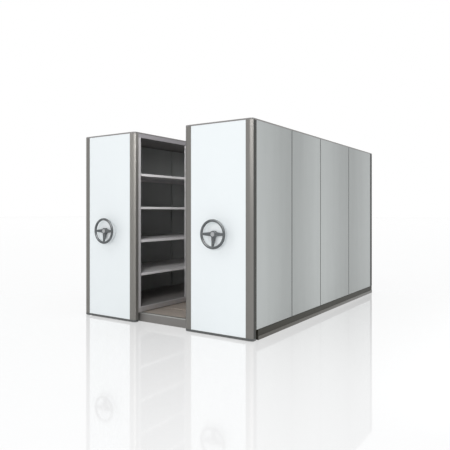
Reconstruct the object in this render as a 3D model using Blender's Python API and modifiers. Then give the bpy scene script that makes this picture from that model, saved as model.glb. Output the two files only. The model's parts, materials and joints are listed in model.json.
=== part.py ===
"""Mobile shelving compactor: two wheeled shelf carriages on a raised track platform.

Metres, +Z up. X runs along the rails, across the aisle, and the fronts with the
handwheels face -Y. The origin is on the floor under the middle of the platform.
A carriage is drawn in its own frame, where "in" is the way towards the aisle.
"""

import math

import bmesh
import bpy
from mathutils import Matrix

# Overall sizes
OVERALL_HEIGHT = 2.200
CARRIAGE_WIDTH = 0.840
AISLE_WIDTH = 0.730
SHELF_LENGTH = 3.600
BAY_COUNT = 4
PANEL_SHARES = (8, 8, 10, 10)
LEVEL_COUNT = 5

# Track platform
PLATFORM_HEIGHT = 0.104
PLATFORM_SIDE_INSET = 0.002
EDGE_WALL = 0.006
NOSING_WIDTH = 0.030
NOSING_THICKNESS = 0.003
BOARD_THICKNESS = 0.022
JOIST_WIDTH = 0.040
STRIP_JOIST_COUNT = 2
BOARD_JOIST_COUNT = 5
RAIL_END_DISTANCE = 0.395
RAIL_FOOT_THICKNESS = 0.008
STOP_HEIGHT = 0.012

# Wheelsets
WHEEL_RADIUS = 0.036
WHEEL_WIDTH = 0.026
FLANGE_HEIGHT = 0.006
FLANGE_THICKNESS = 0.005
SHAFT_RADIUS = 0.010
AXLE_SIDE_DISTANCE = 0.140
BEARING_LIP = 0.005

# Carriage shell
SHEET = 0.002
WEB_THICKNESS = 0.006
SHELF_LIP_HEIGHT = 0.028
SHELF_LIP_RETURN = 0.014
AISLE_FRAME_DEPTH = 0.018
STILE_WIDTH = 0.040
HEADER_HEIGHT = 0.045
TOP_LEVEL_EXTRA = 0.025
ROOF_EDGE = 0.015
OUTER_PANEL_DEPTH = 0.020
PANEL_JOINT = 0.002
PANEL_INSIDE_ROUND = 0.002
REAR_DEPTH = 0.040

# Carriage front
POST_WIDTH = 0.080
POST_DEPTH = 0.060
POST_WALL = 0.003
POST_RETURN = 0.012
CORNER_RADIUS = 0.065
CORNER_REACH = 0.042
FRONT_PANEL_THICKNESS = 0.008
FRONT_PANEL_RECESS = 0.002
KICK_HEIGHT = 0.024
KICK_WALL = 0.012
END_PANEL_DEPTH = 0.040

# Handwheel and chain drive
HANDWHEEL_HEIGHT = 1.050
HANDWHEEL_DIAMETER = 0.305
HANDWHEEL_DISH = 0.020
RIM_DIAMETER = 0.028
RIM_SIDES = 10
HUB_RADIUS = 0.036
HUB_LENGTH = 0.040
SPOKE_ROOT_WIDTH = 0.046
SPOKE_TIP_WIDTH = 0.022
SPOKE_ROOT_THICKNESS = 0.030
SPOKE_TIP_THICKNESS = 0.012
SPOKE_ANGLES = (0.0, 180.0, 270.0)
CAP_RADIUS = 0.024
CAP_THICKNESS = 0.006
BEARING_PLATE_RADIUS = 0.106
BEARING_PLATE_DEPTH = 0.042
BEARING_PLATE_WALL = 0.003
BEARING_PLATE_ROUND = 0.012
BEARING_BODY_RADIUS = 0.030
CHAIN_PITCH = 0.0127
UPPER_TEETH = 12
LOWER_TEETH = 36
SPROCKET_THICKNESS = 0.005
TOOTH_ADDENDUM = 0.003
TOOTH_DEDENDUM = 0.004
TOOTH_FLANKS = (0.35, 0.58, 0.77)
CHAIN_WIDTH = 0.014
CHAIN_HALF_HEIGHT = 0.005

# Fits and running clearances
FIT = 0.0003
RUNNING_FIT = 0.0004
CHAIN_FIT = 0.0006
GUIDE_CLEARANCE = 0.003
SLOT_CLEARANCE = 0.004
WHEEL_CLEARANCE = 0.003
WEB_CLEARANCE = 0.003
BASE_CLEARANCE = 0.005
FLOOR_CLEARANCE = 0.006
FRONT_CLEARANCE = 0.050
CHAIN_CLEARANCE = 0.008
BEARING_CLEARANCE = 0.010
HUB_CLEARANCE = 0.005

# Facets of round shapes
ROUND_SIDES = 24
BORE_SIDES = 12
CORNER_STEPS = 6
EDGE_STEPS = 2
FLAT_ANGLE = math.radians(0.1)
SHARP_ANGLE = math.radians(35.0)

# Carriage outline, from the front plane to the back
HALF_WIDTH = CARRIAGE_WIDTH / 2
CARRIAGE_LENGTH = POST_DEPTH + SHELF_LENGTH + REAR_DEPTH
PLATFORM_SETBACK = POST_DEPTH + FRONT_CLEARANCE
PLATFORM_DEPTH = CARRIAGE_LENGTH - PLATFORM_SETBACK
PLATFORM_WIDTH = 2 * CARRIAGE_WIDTH + AISLE_WIDTH - 2 * PLATFORM_SIDE_INSET
FRONT_Y = -PLATFORM_DEPTH / 2 - PLATFORM_SETBACK
BAYS_START_Y = FRONT_Y + POST_DEPTH
SHELF_START_Y = BAYS_START_Y + END_PANEL_DEPTH + FIT
BAY_LENGTH = SHELF_LENGTH / BAY_COUNT
BAY_EDGES = [BAYS_START_Y + BAY_LENGTH * bay for bay in range(BAY_COUNT + 1)]
SHARE_WIDTH = SHELF_LENGTH / sum(PANEL_SHARES)
PANEL_STARTS = [sum(PANEL_SHARES[:panel]) for panel in range(len(PANEL_SHARES) + 1)]
PANEL_EDGES = [BAYS_START_Y + SHARE_WIDTH * start for start in PANEL_STARTS]
REAR_Y = BAYS_START_Y + SHELF_LENGTH
BACK_Y = FRONT_Y + CARRIAGE_LENGTH
SHELF_IN = HALF_WIDTH - AISLE_FRAME_DEPTH - FIT
SHELF_OUT = -HALF_WIDTH + OUTER_PANEL_DEPTH + FIT

# Rails and axles
RAIL_NAMES = ("front", "middle", "rear")
OUTER_RAIL_Y = PLATFORM_DEPTH / 2 - RAIL_END_DISTANCE
RAIL_YS = (-OUTER_RAIL_Y, 0.0, OUTER_RAIL_Y)
RAIL_HEAD_WIDTH = WHEEL_WIDTH - 2 * GUIDE_CLEARANCE
WHEEL_REACH = WHEEL_WIDTH / 2 + FLANGE_THICKNESS
RAIL_SLOT_WIDTH = 2 * (WHEEL_REACH + SLOT_CLEARANCE)
RAIL_FOOT_WIDTH = RAIL_SLOT_WIDTH - 2 * GUIDE_CLEARANCE
WEB_REACH = WHEEL_REACH + WEB_CLEARANCE
AXLE_HEIGHT = PLATFORM_HEIGHT + WEB_CLEARANCE + BEARING_LIP + SHAFT_RADIUS
RAIL_TOP = AXLE_HEIGHT - WHEEL_RADIUS - FIT
DRIVE_OFFSET = -HALF_WIDTH + AXLE_SIDE_DISTANCE
IDLE_OFFSET = HALF_WIDTH - AXLE_SIDE_DISTANCE

# Heights
DECK_TOP = PLATFORM_HEIGHT - NOSING_THICKNESS - FIT
BASE_BOTTOM = PLATFORM_HEIGHT + BASE_CLEARANCE
BASE_TOP = AXLE_HEIGHT + WHEEL_RADIUS + FLANGE_HEIGHT + WHEEL_CLEARANCE + SHEET
ROOF_BOTTOM = OVERALL_HEIGHT - ROOF_EDGE
HEADER_BOTTOM = ROOF_BOTTOM - HEADER_HEIGHT
LEVEL_PITCH = (HEADER_BOTTOM - TOP_LEVEL_EXTRA - BASE_TOP) / LEVEL_COUNT
KICK_TOP = FLOOR_CLEARANCE + KICK_HEIGHT

# Drive, along Y from the front plane
CHAIN_PLANE = POST_DEPTH - CHAIN_CLEARANCE - CHAIN_WIDTH / 2
CHAIN_Y = FRONT_Y + CHAIN_PLANE
PLATE_BACK = FRONT_PANEL_RECESS - FIT
BEARING_BODY_LENGTH = CHAIN_PLANE - CHAIN_WIDTH / 2 - BEARING_CLEARANCE - PLATE_BACK
HUB_BACK = PLATE_BACK - BEARING_PLATE_DEPTH - HUB_CLEARANCE
HUB_MIDDLE = HUB_BACK - HUB_LENGTH / 2

# Colour, roughness and metallic value of each finish
FINISHES = {
    "white_panel": ((0.88, 0.90, 0.91), 0.30, 0.0),
    "grey_enamel": ((0.50, 0.51, 0.52), 0.42, 0.0),
    "light_enamel": ((0.66, 0.65, 0.65), 0.35, 0.0),
    "taupe_profile": ((0.25, 0.24, 0.22), 0.35, 0.6),
    "taupe_enamel": ((0.25, 0.24, 0.22), 0.40, 0.0),
    "dark_trim": ((0.10, 0.10, 0.10), 0.45, 0.0),
    "deck_vinyl": ((0.19, 0.17, 0.15), 0.60, 0.0),
    "bright_steel": ((0.45, 0.45, 0.46), 0.30, 1.0),
    "wheel_casting": ((0.13, 0.14, 0.15), 0.35, 0.5),
    "chain_steel": ((0.20, 0.20, 0.21), 0.45, 1.0),
}


def start_scene():
    """Empty the scene and make the two collections."""
    for old in list(bpy.data.objects):
        bpy.data.objects.remove(old, do_unlink=True)
    for name in ("mobile_shelving_compactor", "cutters"):
        collection = bpy.data.collections.new(name)
        bpy.context.scene.collection.children.link(collection)


def finish(name):
    """Return the named Principled material, made once."""
    known = bpy.data.materials.get(name)
    if known:
        return known
    colour, roughness, metallic = FINISHES[name]
    material = bpy.data.materials.new(name)
    material.use_nodes = True
    shader = material.node_tree.nodes["Principled BSDF"]
    shader.inputs["Base Color"].default_value = (*colour, 1.0)
    shader.inputs["Roughness"].default_value = roughness
    shader.inputs["Metallic"].default_value = metallic
    return material


def add_piece(name, data, finish_name, parent=None, at=(0.0, 0.0, 0.0)):
    """Put a mesh in the part as a named object, smooth where it is round."""
    piece = bpy.data.objects.new(name, data)
    piece.location = at
    piece.parent = parent
    data.materials.append(finish(finish_name))
    data.shade_smooth()
    data.set_sharp_from_angle(angle=SHARP_ANGLE)
    bpy.data.collections["mobile_shelving_compactor"].objects.link(piece)
    return piece


def add_axis(name, at, parent=None):
    """Add an empty that stands on a joint's axis."""
    axis = bpy.data.objects.new(name, None)
    axis.location = at
    axis.parent = parent
    bpy.data.collections["mobile_shelving_compactor"].objects.link(axis)
    return axis


def box_mesh(name, low, high):
    """Return a box between two corners."""
    size = [top - bottom for bottom, top in zip(low, high)]
    centre = [(top + bottom) / 2 for bottom, top in zip(low, high)]
    shape = bmesh.new()
    bmesh.ops.create_cube(shape, size=1.0)
    bmesh.ops.scale(shape, vec=size, verts=shape.verts)
    bmesh.ops.translate(shape, vec=centre, verts=shape.verts)
    mesh = bpy.data.meshes.new(name)
    shape.to_mesh(mesh)
    shape.free()
    return mesh


def tray_mesh(name, low, high, open_way):
    """Return the outer skin of a box without the side that faces open_way."""
    mesh = box_mesh(name, low, high)
    shape = bmesh.new()
    shape.from_mesh(mesh)
    shape.normal_update()
    gone = [face for face in shape.faces if face.normal.dot(open_way) > 0.9]
    bmesh.ops.delete(shape, geom=gone, context="FACES")
    shape.to_mesh(mesh)
    shape.free()
    return mesh


def thicken(piece, thickness):
    """Give an open skin its sheet thickness, inwards."""
    wall = piece.modifiers.new("sheet", "SOLIDIFY")
    wall.thickness = thickness
    wall.offset = -1.0
    wall.use_even_offset = True


def plane_turn(plane):
    """Return the turn that lays a flat outline in the plane XY, XZ or YZ."""
    if plane == "XZ":
        return Matrix.Rotation(math.pi / 2, 4, "X")
    if plane == "YZ":
        return Matrix(((0, 0, 1), (1, 0, 0), (0, 1, 0))).to_4x4()
    return Matrix.Identity(4)


def outline_mesh(name, loops, plane, span):
    """Return the solid of a flat outline, with holes, extruded over span."""
    curve = bpy.data.curves.new(name, "CURVE")
    curve.dimensions = "2D"
    curve.fill_mode = "BOTH"
    curve.extrude = (span[1] - span[0]) / 2
    for loop in loops:
        spline = curve.splines.new("POLY")
        spline.points.add(len(loop) - 1)
        for point, (u, v) in zip(spline.points, loop):
            point.co = (u, v, 0.0, 1.0)
        spline.use_cyclic_u = True
    drawn = bpy.data.objects.new(name, curve)
    bpy.context.scene.collection.objects.link(drawn)
    evaluated = drawn.evaluated_get(bpy.context.evaluated_depsgraph_get())
    mesh = bpy.data.meshes.new_from_object(evaluated)
    bpy.data.objects.remove(drawn, do_unlink=True)
    bpy.data.curves.remove(curve)
    middle = (span[0] + span[1]) / 2
    normal = {"XY": (0, 0, middle), "XZ": (0, middle, 0), "YZ": (middle, 0, 0)}[plane]
    shape = bmesh.new()
    shape.from_mesh(mesh)
    bmesh.ops.remove_doubles(shape, verts=shape.verts, dist=1e-6)
    bmesh.ops.dissolve_limit(shape, angle_limit=FLAT_ANGLE, verts=shape.verts, edges=shape.edges)
    bmesh.ops.transform(shape, matrix=plane_turn(plane), verts=shape.verts)
    bmesh.ops.translate(shape, vec=normal, verts=shape.verts)
    bmesh.ops.recalc_face_normals(shape, faces=shape.faces)
    shape.to_mesh(mesh)
    shape.free()
    mesh.name = name
    return mesh


def rectangle(low_u, low_v, high_u, high_v):
    """Return the corners of a rectangle."""
    return [(low_u, low_v), (high_u, low_v), (high_u, high_v), (low_u, high_v)]


def arc(centre_u, centre_v, radius, start, end, steps):
    """Return points on an arc, with angles in degrees."""
    points = []
    for step in range(steps + 1):
        angle = math.radians(start + (end - start) * step / steps)
        points.append((centre_u + radius * math.cos(angle), centre_v + radius * math.sin(angle)))
    return points


def circle(centre_u, centre_v, radius, sides=ROUND_SIDES):
    """Return points on a full circle."""
    return arc(centre_u, centre_v, radius, 0.0, 360.0, sides)[:-1]


def around(radius, sides=ROUND_SIDES):
    """Return the corner radius of a faceted hole whose flats clear a radius."""
    return radius / math.cos(math.pi / sides)


def mirrored(points, side):
    """Return an outline with its first coordinate turned towards the aisle."""
    return [(side * u, v) for u, v in points]


def ordered(side, start, end):
    """Return a span across the carriage in rising order."""
    return tuple(sorted((side * start, side * end)))


def combine(piece, mesh, operation, at=(0.0, 0.0, 0.0)):
    """Join a shape to a piece or cut it away, with the shape kept as a hidden guide."""
    guide = bpy.data.objects.new(piece.name + "_" + operation.lower(), mesh)
    guide.parent = piece.parent
    guide.location = at
    guide.hide_render = True
    guide.display_type = "WIRE"
    bpy.data.collections["cutters"].objects.link(guide)
    boolean = piece.modifiers.new(operation.lower(), "BOOLEAN")
    boolean.operation = operation
    boolean.solver = "EXACT"
    boolean.object = guide
    return piece


def rod_mesh(name, radius, span, sides=ROUND_SIDES):
    """Return a rod along Y over span."""
    shape = bmesh.new()
    bmesh.ops.create_cone(
        shape,
        cap_ends=True,
        segments=sides,
        radius1=radius,
        radius2=radius,
        depth=span[1] - span[0],
    )
    bmesh.ops.rotate(shape, cent=(0, 0, 0), matrix=Matrix.Rotation(math.pi / 2, 3, "X"), verts=shape.verts)
    bmesh.ops.translate(shape, vec=(0, (span[0] + span[1]) / 2, 0), verts=shape.verts)
    mesh = bpy.data.meshes.new(name)
    shape.to_mesh(mesh)
    shape.free()
    return mesh


def add_turned(name, profile, closed, finish_name, parent, at, sides=ROUND_SIDES):
    """Add a shape turned about Y from (radius, y) points that run down its outer side."""
    mesh = bpy.data.meshes.new(name)
    shape = bmesh.new()
    corners = [shape.verts.new((radius, 0.0, along)) for radius, along in profile]
    for first, second in zip(corners, corners[1:]):
        shape.edges.new((first, second))
    if closed:
        shape.edges.new((corners[-1], corners[0]))
    shape.to_mesh(mesh)
    shape.free()
    piece = add_piece(name, mesh, finish_name, parent, at)
    piece.rotation_euler = (-math.pi / 2, 0.0, 0.0)
    screw = piece.modifiers.new("turn", "SCREW")
    screw.axis = "Z"
    screw.steps = sides
    screw.render_steps = sides
    screw.use_merge_vertices = True
    screw.merge_threshold = 0.00001
    return piece


def build_rail(name, rail_y):
    """A T-section rail with a stop block at each end."""
    half_length = PLATFORM_WIDTH / 2 - EDGE_WALL - FIT
    half_head = RAIL_HEAD_WIDTH / 2
    half_foot = RAIL_FOOT_WIDTH / 2
    section = [
        (rail_y - half_foot, 0.0),
        (rail_y + half_foot, 0.0),
        (rail_y + half_foot, RAIL_FOOT_THICKNESS),
        (rail_y + half_head, RAIL_FOOT_THICKNESS),
        (rail_y + half_head, RAIL_TOP),
        (rail_y - half_head, RAIL_TOP),
        (rail_y - half_head, RAIL_FOOT_THICKNESS),
        (rail_y - half_foot, RAIL_FOOT_THICKNESS),
    ]
    rail = add_piece(
        name,
        outline_mesh(name, [section], "YZ", (-half_length, half_length)),
        "bright_steel",
    )
    outer_wheel_x = AISLE_WIDTH / 2 + HALF_WIDTH + IDLE_OFFSET
    touch = math.sqrt(WHEEL_RADIUS ** 2 - (WHEEL_RADIUS - STOP_HEIGHT) ** 2)
    for side in (1, -1):
        start, end = ordered(side, outer_wheel_x + touch + FIT, half_length)
        block = box_mesh(
            "stop",
            (start, rail_y - half_head, RAIL_TOP - STOP_HEIGHT),
            (end, rail_y + half_head, RAIL_TOP + STOP_HEIGHT),
        )
        combine(rail, block, "UNION")


def build_deck_board(name, front_y, back_y, joist_count):
    """A board on joists that run along the rails and stand on the floor."""
    under = DECK_TOP - BOARD_THICKNESS
    section = [(back_y, DECK_TOP), (front_y, DECK_TOP)]
    step = (back_y - front_y - JOIST_WIDTH) / (joist_count - 1)
    for index in range(joist_count):
        start = front_y + index * step
        if index:
            section.append((start, under))
        section.append((start, 0.0))
        section.append((start + JOIST_WIDTH, 0.0))
        if index < joist_count - 1:
            section.append((start + JOIST_WIDTH, under))
    half_length = PLATFORM_WIDTH / 2 - EDGE_WALL - FIT
    add_piece(name, outline_mesh(name, [section], "YZ", (-half_length, half_length)), "deck_vinyl")


def build_platform_edge():
    """The angle-section frame with a nosing that runs round the platform."""
    half_x = PLATFORM_WIDTH / 2
    half_y = PLATFORM_DEPTH / 2
    loops = [
        rectangle(-half_x, -half_y, half_x, half_y),
        rectangle(
            -half_x + NOSING_WIDTH,
            -half_y + NOSING_WIDTH,
            half_x - NOSING_WIDTH,
            half_y - NOSING_WIDTH,
        ),
    ]
    edge = add_piece(
        "platform_edge",
        outline_mesh("platform_edge", loops, "XY", (0.0, PLATFORM_HEIGHT)),
        "taupe_profile",
    )
    hollow = box_mesh(
        "platform_hollow",
        (-half_x + EDGE_WALL, -half_y + EDGE_WALL, -PLATFORM_HEIGHT),
        (half_x - EDGE_WALL, half_y - EDGE_WALL, PLATFORM_HEIGHT - NOSING_THICKNESS),
    )
    combine(edge, hollow, "DIFFERENCE")


def build_track():
    """The rails, the boards between them and the edge frame."""
    for rail_name, rail_y in zip(RAIL_NAMES, RAIL_YS):
        build_rail("rail_" + rail_name, rail_y)
    inside = PLATFORM_DEPTH / 2 - EDGE_WALL - FIT
    half_slot = RAIL_SLOT_WIDTH / 2
    starts = [-inside] + [rail_y + half_slot for rail_y in RAIL_YS]
    ends = [rail_y - half_slot for rail_y in RAIL_YS] + [inside]
    names = ("deck_front_strip", "deck_front_board", "deck_rear_board", "deck_rear_strip")
    for name, front_y, back_y in zip(names, starts, ends):
        joists = STRIP_JOIST_COUNT if name.endswith("strip") else BOARD_JOIST_COUNT
        build_deck_board(name, front_y, back_y, joists)
    build_platform_edge()


def lipped_section(side, top, lip_height, lip_return):
    """The section of a shelf: a deck with folded lips and returns on both long edges."""
    inner_out = SHELF_OUT + SHEET
    inner_in = SHELF_IN - SHEET
    foot = top - lip_height
    points = [
        (SHELF_OUT, top),
        (SHELF_OUT, foot),
        (SHELF_OUT + lip_return, foot),
        (SHELF_OUT + lip_return, foot + SHEET),
        (inner_out, foot + SHEET),
        (inner_out, top - SHEET),
        (inner_in, top - SHEET),
        (inner_in, foot + SHEET),
        (SHELF_IN - lip_return, foot + SHEET),
        (SHELF_IN - lip_return, foot),
        (SHELF_IN, foot),
        (SHELF_IN, top),
    ]
    return mirrored(points, side)


def build_base(name, side, parent):
    """The bottom shelf, with side bands and the cross webs that carry the axles."""
    start_y = BAYS_START_Y + FIT
    end_y = REAR_Y - FIT
    section = lipped_section(side, BASE_TOP, BASE_TOP - BASE_BOTTOM, SHELF_LIP_RETURN)
    base = add_piece(name, outline_mesh(name, [section], "XZ", (start_y, end_y)), "taupe_enamel", parent)
    webs = [start_y]
    for rail_y in RAIL_YS:
        webs.append(rail_y - WEB_REACH - WEB_THICKNESS)
        webs.append(rail_y + WEB_REACH)
    low_x, high_x = ordered(side, SHELF_OUT + SHEET / 2, SHELF_IN - SHEET / 2)
    for web_y in webs:
        web = box_mesh(
            "web",
            (low_x, web_y, PLATFORM_HEIGHT + WEB_CLEARANCE),
            (high_x, web_y + WEB_THICKNESS, BASE_TOP - SHEET / 2),
        )
        combine(base, web, "UNION")
    bore = around(SHAFT_RADIUS + RUNNING_FIT, BORE_SIDES)
    for offset, first_web in ((DRIVE_OFFSET, webs[0]), (IDLE_OFFSET, webs[1])):
        drill = rod_mesh("axle_bore", bore, (first_web - SHEET, end_y), BORE_SIDES)
        combine(base, drill, "DIFFERENCE", (side * offset, 0.0, AXLE_HEIGHT))


def build_shelves(prefix, side, parent):
    """The long shelves above the base, evenly spaced up to the header."""
    span = (SHELF_START_Y, REAR_Y - FIT)
    for level in range(1, LEVEL_COUNT):
        name = f"{prefix}_shelf_{level}"
        section = lipped_section(side, BASE_TOP + level * LEVEL_PITCH, SHELF_LIP_HEIGHT, SHELF_LIP_RETURN)
        add_piece(name, outline_mesh(name, [section], "XZ", span), "light_enamel", parent)


def aisle_frame_breaks():
    """Where the stiles start and end along Y, and where the sill and header do along Z."""
    across = [BAYS_START_Y + FIT]
    for bay, (low, high) in enumerate(zip(BAY_EDGES, BAY_EDGES[1:])):
        across.append(low + (STILE_WIDTH if bay == 0 else STILE_WIDTH / 2))
        across.append(high - (STILE_WIDTH if bay == BAY_COUNT - 1 else STILE_WIDTH / 2))
    across.append(REAR_Y - FIT)
    return across, [BASE_BOTTOM, BASE_TOP, HEADER_BOTTOM, ROOF_BOTTOM - FIT]


def aisle_frame_mesh(name, side):
    """The frame's face with its bay windows and turned-back edges, as an open skin."""
    across, up = aisle_frame_breaks()
    columns = len(across) - 1
    rows = len(up) - 1
    shape = bmesh.new()
    bmesh.ops.create_grid(shape, x_segments=columns, y_segments=rows, size=1)
    windows = []
    for face in shape.faces:
        centre = face.calc_center_median()
        column = int((centre.x + 1) / 2 * columns)
        row = int((centre.y + 1) / 2 * rows)
        if column % 2 == 1 and 0 < row < rows - 1:
            windows.append(face)
    for corner in shape.verts:
        column = round((corner.co.x + 1) / 2 * columns)
        row = round((corner.co.y + 1) / 2 * rows)
        corner.co = (side * HALF_WIDTH, across[column], up[row])
    bmesh.ops.delete(shape, geom=windows, context="FACES")
    rim = [edge for edge in shape.edges if edge.is_boundary]
    turned = bmesh.ops.extrude_edge_only(shape, edges=rim)["geom"]
    corners = [item for item in turned if isinstance(item, bmesh.types.BMVert)]
    bmesh.ops.translate(shape, vec=(-side * AISLE_FRAME_DEPTH, 0, 0), verts=corners)
    bmesh.ops.recalc_face_normals(shape, faces=shape.faces)
    facing = max(shape.faces, key=lambda face: side * face.calc_center_median().x)
    if facing.normal.x * side < 0:
        bmesh.ops.reverse_faces(shape, faces=shape.faces)
    mesh = bpy.data.meshes.new(name)
    shape.to_mesh(mesh)
    shape.free()
    return mesh


def build_aisle_frame(name, side, parent):
    """The pressed frame on the aisle side: header, stiles and sill, hollow from behind."""
    frame = add_piece(name, aisle_frame_mesh(name, side), "taupe_enamel", parent)
    thicken(frame, SHEET)


def build_outer_panels(prefix, side, parent):
    """The cladding panels on the outer long side."""
    low_x, high_x = ordered(side, -HALF_WIDTH, -HALF_WIDTH + OUTER_PANEL_DEPTH)
    for panel_number, (low_y, high_y) in enumerate(zip(PANEL_EDGES, PANEL_EDGES[1:]), start=1):
        name = f"{prefix}_outer_panel_{panel_number}"
        low = (low_x, low_y + PANEL_JOINT / 2, BASE_BOTTOM)
        high = (high_x, high_y - PANEL_JOINT / 2, ROOF_BOTTOM - FIT)
        mesh = tray_mesh(name, low, high, (side, 0, 0))
        round_upright_edges(mesh)
        panel = add_piece(name, mesh, "grey_enamel", parent)
        thicken(panel, SHEET)


def round_upright_edges(mesh):
    """Round a tray's two upright edges on its face side."""
    shape = bmesh.new()
    shape.from_mesh(mesh)
    edges = []
    for edge in shape.edges:
        along = edge.verts[1].co - edge.verts[0].co
        if edge.is_manifold and abs(along.z) > 0.9 * along.length:
            edges.append(edge)
    bmesh.ops.bevel(
        shape,
        geom=edges,
        offset=SHEET + PANEL_INSIDE_ROUND,
        affect="EDGES",
        segments=EDGE_STEPS,
        profile=0.5,
        material=-1,
    )
    shape.to_mesh(mesh)
    shape.free()


def build_end_panel(name, side, parent):
    """The sheet tray that closes the shelves behind the front, with the hand shaft's rear bearing."""
    low_x, high_x = ordered(side, SHELF_OUT, SHELF_IN)
    low = (low_x, BAYS_START_Y + FIT, BASE_TOP + FIT)
    high = (high_x, BAYS_START_Y + END_PANEL_DEPTH, ROOF_BOTTOM - FIT)
    panel = add_piece(name, tray_mesh(name, low, high, (0, 1, 0)), "light_enamel", parent)
    thicken(panel, SHEET)
    bore = around(SHAFT_RADIUS + RUNNING_FIT)
    drill = rod_mesh("shaft_bore", bore, (low[1] - SHEET, low[1] + 2 * SHEET))
    combine(panel, drill, "DIFFERENCE", (0.0, 0.0, HANDWHEEL_HEIGHT))


def build_rear_panel(name, parent):
    """The tray that closes the back end."""
    low = (-HALF_WIDTH, REAR_Y, BASE_BOTTOM)
    high = (HALF_WIDTH, BACK_Y, ROOF_BOTTOM - FIT)
    panel = add_piece(name, tray_mesh(name, low, high, (0, -1, 0)), "grey_enamel", parent)
    thicken(panel, SHEET)


def swept_corner(inset):
    """The front right corner in plan, drawn in by inset: a wide arc that ends crisply at the side."""
    radius = CORNER_RADIUS - inset
    turn = math.degrees(math.asin((CORNER_REACH - inset) / radius))
    centre_x = HALF_WIDTH - CORNER_REACH
    centre_y = FRONT_Y + CORNER_RADIUS
    return arc(centre_x, centre_y, radius, -90.0, turn - 90.0, CORNER_STEPS)


def front_rounded(inset, back_y):
    """A plan outline with the front corners rounded, drawn in by inset."""
    half = HALF_WIDTH - inset
    right = swept_corner(inset)
    left = mirrored(reversed(right), -1)
    return left + right + [(half, back_y), (-half, back_y)]


def build_roof(name, parent):
    """The roof tray, with a turned-down edge all round."""
    outline = front_rounded(0.0, BACK_Y)
    roof = add_piece(
        name,
        outline_mesh(name, [outline], "XY", (ROOF_BOTTOM, OVERALL_HEIGHT)),
        "taupe_enamel",
        parent,
    )
    hollow = outline_mesh(
        "roof_hollow",
        [front_rounded(SHEET, BACK_Y - SHEET)],
        "XY",
        (ROOF_BOTTOM - ROOF_EDGE, OVERALL_HEIGHT - SHEET),
    )
    combine(roof, hollow, "DIFFERENCE")


def build_kick(name, parent):
    """The dark trim along the foot of the front, turned back at both ends."""
    back_y = FRONT_Y + POST_DEPTH
    outline = front_rounded(0.0, back_y)
    kick = add_piece(
        name,
        outline_mesh(name, [outline], "XY", (FLOOR_CLEARANCE, KICK_TOP)),
        "dark_trim",
        parent,
    )
    hollow = outline_mesh(
        "kick_hollow",
        [front_rounded(KICK_WALL, back_y + KICK_WALL)],
        "XY",
        (FLOOR_CLEARANCE - KICK_WALL, KICK_TOP + KICK_WALL),
    )
    combine(kick, hollow, "DIFFERENCE")


def build_post(name, hand, parent):
    """A corner post: an extrusion with a rounded corner, at the right for hand 1, at the left for -1."""
    inner_edge = HALF_WIDTH - POST_WIDTH
    back_y = FRONT_Y + POST_DEPTH
    section = [(inner_edge, FRONT_Y + POST_RETURN), (inner_edge, FRONT_Y)]
    section += swept_corner(0.0)
    section += [(HALF_WIDTH, back_y), (HALF_WIDTH - POST_WALL, back_y)]
    section += reversed(swept_corner(POST_WALL))
    section.append((inner_edge + POST_WALL, FRONT_Y + POST_WALL))
    section.append((inner_edge + POST_WALL, FRONT_Y + POST_RETURN))
    span = (KICK_TOP + FIT, ROOF_BOTTOM - FIT)
    add_piece(name, outline_mesh(name, [mirrored(section, hand)], "XY", span), "taupe_profile", parent)


def build_front_panel(name, parent):
    """The white panel between the posts, with the hole for the wheel's bearing."""
    half = HALF_WIDTH - POST_WIDTH - FIT
    loops = [
        rectangle(-half, KICK_TOP + FIT, half, ROOF_BOTTOM - FIT),
        circle(0.0, HANDWHEEL_HEIGHT, around(BEARING_BODY_RADIUS + FIT)),
    ]
    start = FRONT_Y + FRONT_PANEL_RECESS
    span = (start, start + FRONT_PANEL_THICKNESS)
    add_piece(name, outline_mesh(name, loops, "XZ", span), "white_panel", parent)


def build_bearing_plate(name, parent):
    """The round hollow cover behind the wheel, with the bearing body that goes through the panel."""
    at = (0.0, FRONT_Y + PLATE_BACK, HANDWHEEL_HEIGHT)
    bore = around(SHAFT_RADIUS + RUNNING_FIT)
    inner = BEARING_PLATE_RADIUS - BEARING_PLATE_WALL
    ceiling = BEARING_PLATE_WALL - BEARING_PLATE_DEPTH
    round_centre = (BEARING_PLATE_RADIUS - BEARING_PLATE_ROUND, BEARING_PLATE_ROUND - BEARING_PLATE_DEPTH)
    profile = [
        (bore, BEARING_BODY_LENGTH),
        (BEARING_BODY_RADIUS, BEARING_BODY_LENGTH),
        (BEARING_BODY_RADIUS, ceiling),
    ]
    profile += arc(*round_centre, BEARING_PLATE_ROUND - BEARING_PLATE_WALL, -90.0, 0.0, EDGE_STEPS)
    profile += [(inner, 0.0), (BEARING_PLATE_RADIUS, 0.0)]
    profile += arc(*round_centre, BEARING_PLATE_ROUND, 0.0, -90.0, EDGE_STEPS)
    profile.append((bore, -BEARING_PLATE_DEPTH))
    add_turned(name, profile, True, "light_enamel", parent, at)


def spoke_mesh(angle):
    """A tapered spoke that leans out from the hub to the rim."""
    rim_centre = (HANDWHEEL_DIAMETER - RIM_DIAMETER) / 2
    root = HUB_RADIUS / 2
    shape = bmesh.new()
    bmesh.ops.create_cube(shape, size=1.0)
    for corner in shape.verts:
        at_tip = corner.co.x > 0
        width = SPOKE_TIP_WIDTH if at_tip else SPOKE_ROOT_WIDTH
        thickness = SPOKE_TIP_THICKNESS if at_tip else SPOKE_ROOT_THICKNESS
        lean = -HANDWHEEL_DISH if at_tip else 0.0
        corner.co.x = rim_centre if at_tip else root
        corner.co.y = corner.co.y * thickness + lean
        corner.co.z *= width
    turn = Matrix.Rotation(math.radians(-angle), 3, "Y")
    bmesh.ops.rotate(shape, cent=(0, 0, 0), matrix=turn, verts=shape.verts)
    mesh = bpy.data.meshes.new("spoke")
    shape.to_mesh(mesh)
    shape.free()
    return mesh


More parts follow.
